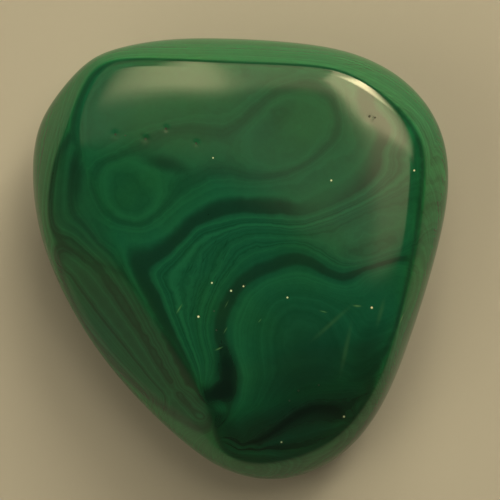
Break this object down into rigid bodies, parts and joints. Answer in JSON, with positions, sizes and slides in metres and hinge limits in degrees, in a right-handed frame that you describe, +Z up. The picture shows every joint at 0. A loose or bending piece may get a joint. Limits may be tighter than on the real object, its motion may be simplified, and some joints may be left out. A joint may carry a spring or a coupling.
{
  "type": "malachite specimen",
  "caption": "Tumbled and polished malachite stone: a rounded triangle with soft worn facets, banded in dark and bright green, lying on a small flat.",
  "frame": {"origin": "on the resting face, under the middle of the stone's bounding box", "axes": "+Z up from the resting face to the polished top face; +Y from the narrow end to the broad end, the way the stone lies in the picture; +X to the right seen from above"},
  "size_m": [0.0376, 0.04, 0.0116],
  "materials": {
    "malachite": "polished, with fine pits and hairline scratches; concentric and wavy bands from very dark green to bluish mid green"
  },
  "bodies": {
    "root": {"malachite_stone": "malachite"}
  },
  "joints": []
}
